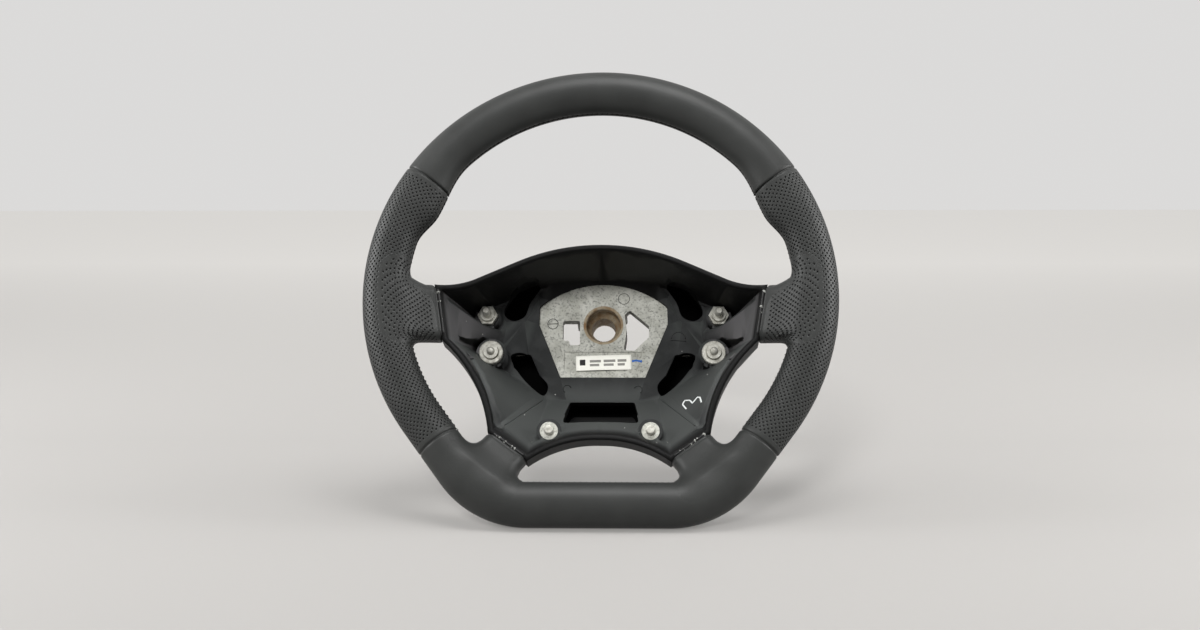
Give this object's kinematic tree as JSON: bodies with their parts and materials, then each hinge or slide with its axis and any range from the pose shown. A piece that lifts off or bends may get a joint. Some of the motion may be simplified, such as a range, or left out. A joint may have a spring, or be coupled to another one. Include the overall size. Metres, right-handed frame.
{
  "type": "car steering wheel",
  "caption": "Flat-bottomed leather car steering wheel with perforated side grips, a bare dished centre without airbag module, cast hub and steel bush.",
  "frame": {"origin": "on the steering axis, at the seat of the centre bolt, where the shaft bore begins", "axes": "+X to the driver's right, +Y along the steering axis away from the driver, +Z to twelve o'clock"},
  "size_m": [0.385, 0.149, 0.3825],
  "materials": {
    "cast_alloy": "rough die-cast",
    "bush_steel": "turned, lightly rusted",
    "black_foam": "moulded skin, low gloss",
    "smooth_leather": "smooth, matt",
    "perforated_leather": "perforated, matt",
    "cover_plastic": "fine moulded grain",
    "screw_steel": "dark passivated",
    "zinc_steel": "zinc plated",
    "label_paper": "matt"
  },
  "bodies": {
    "root": {"armature": "cast_alloy", "hub_bush": "bush_steel", "rim_foam": "black_foam", "centre_dish": "black_foam", "leather_upper": "smooth_leather", "leather_left": "perforated_leather", "leather_right": "perforated_leather", "leather_lower": "smooth_leather", "rear_cover": "cover_plastic", "cover_screw_left": "screw_steel", "cover_screw_right": "screw_steel", "upper_stud_left": "zinc_steel", "upper_stud_right": "zinc_steel", "side_bush_left": "zinc_steel", "side_bush_right": "zinc_steel", "side_sleeve_left": "zinc_steel", "side_sleeve_right": "zinc_steel", "side_pin_left": "zinc_steel", "side_pin_right": "zinc_steel", "lower_disc_left": "cast_alloy", "lower_disc_right": "cast_alloy", "lower_stud_left": "zinc_steel", "lower_stud_right": "zinc_steel", "label": "label_paper"}
  },
  "joints": []
}
